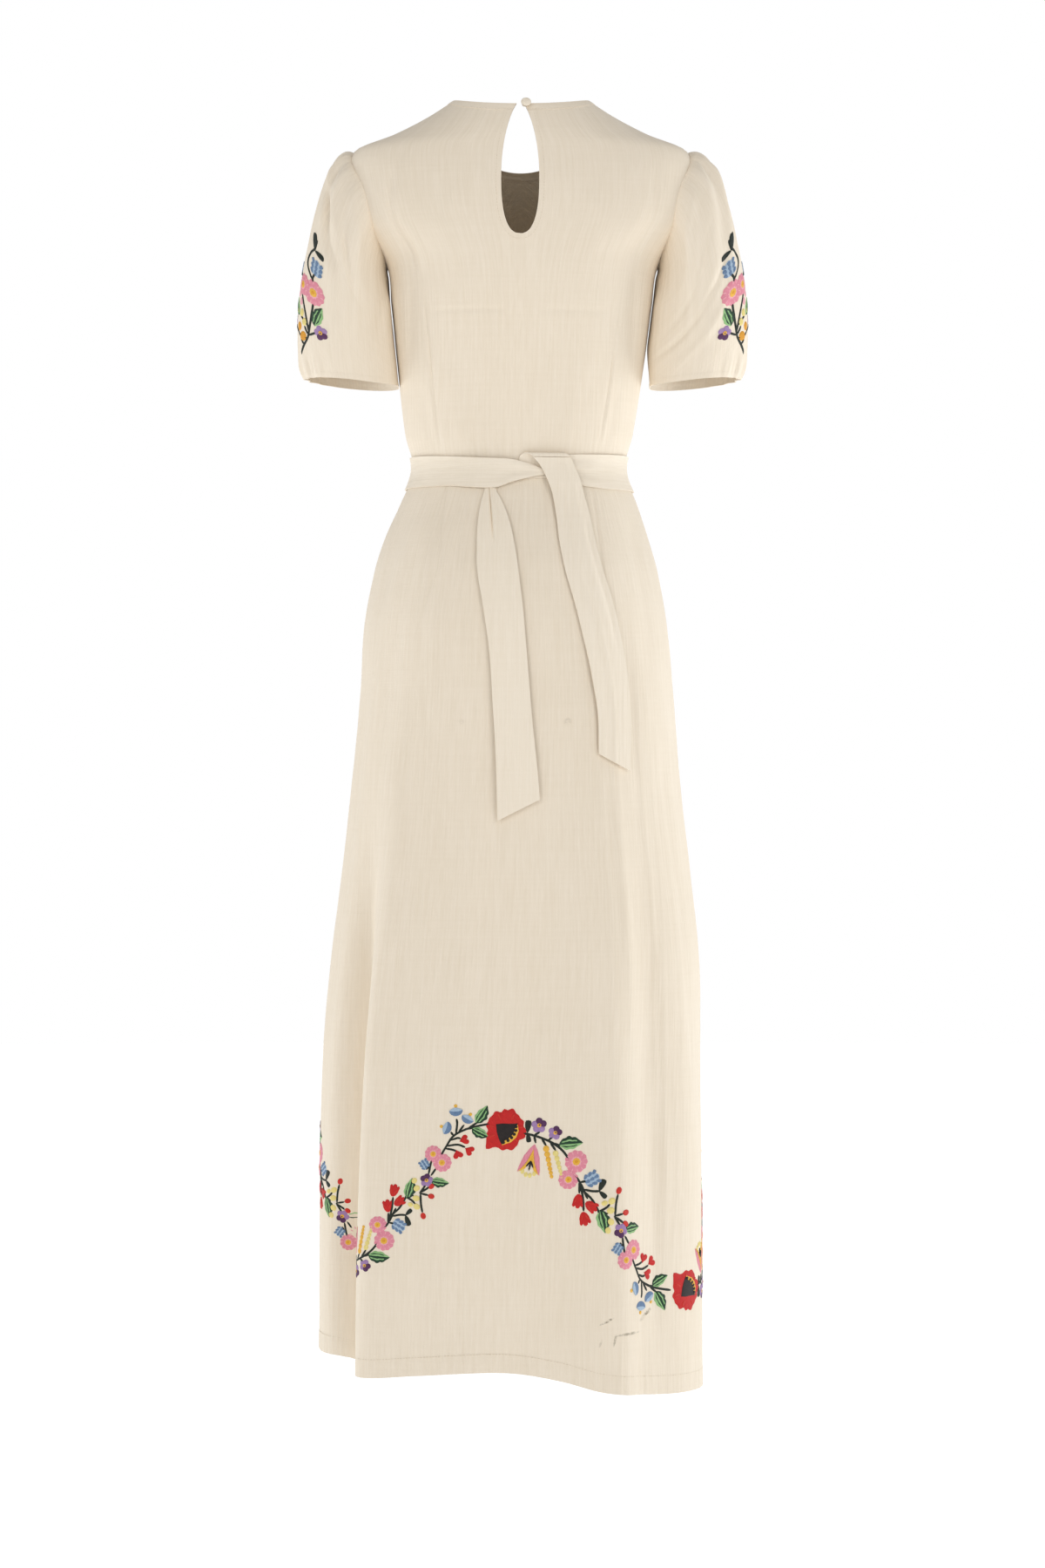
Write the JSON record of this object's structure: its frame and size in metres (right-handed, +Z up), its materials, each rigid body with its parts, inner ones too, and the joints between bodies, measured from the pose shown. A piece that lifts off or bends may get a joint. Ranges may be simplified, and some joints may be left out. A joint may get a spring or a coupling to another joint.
{
  "type": "maxi dress",
  "caption": "Long short-sleeved dress in worn form, round neck, keyhole back with button, puffed sleeves, waist belt knotted at the back, A-line skirt with embroidered hem",
  "frame": {"origin": "middle of the neck and shoulder line, where the wearer's shoulders hold the dress up", "axes": "+Z up the dress, back of the dress towards -Y, front towards +Y, +X to the right seen from behind"},
  "size_m": [0.4978, 0.3817, 1.4213],
  "materials": {
    "dress_cloth": "matt cream crepe weave with fine upright slubs, coloured satin stitch flowers on sleeves and hem",
    "belt_cloth": "same cloth, doubled and pressed, slightly lighter",
    "button_cover": "cloth-covered button"
  },
  "bodies": {
    "root": {"bodice_back": "dress_cloth", "bodice_front": "dress_cloth", "skirt_back": "dress_cloth", "skirt_front": "dress_cloth", "sleeve_left": "dress_cloth", "sleeve_right": "dress_cloth", "neck_binding": "dress_cloth", "button": "button_cover", "button_loop": "dress_cloth", "belt_band": "belt_cloth", "belt_knot": "belt_cloth", "belt_tail_left": "belt_cloth", "belt_tail_right": "belt_cloth"}
  },
  "joints": []
}
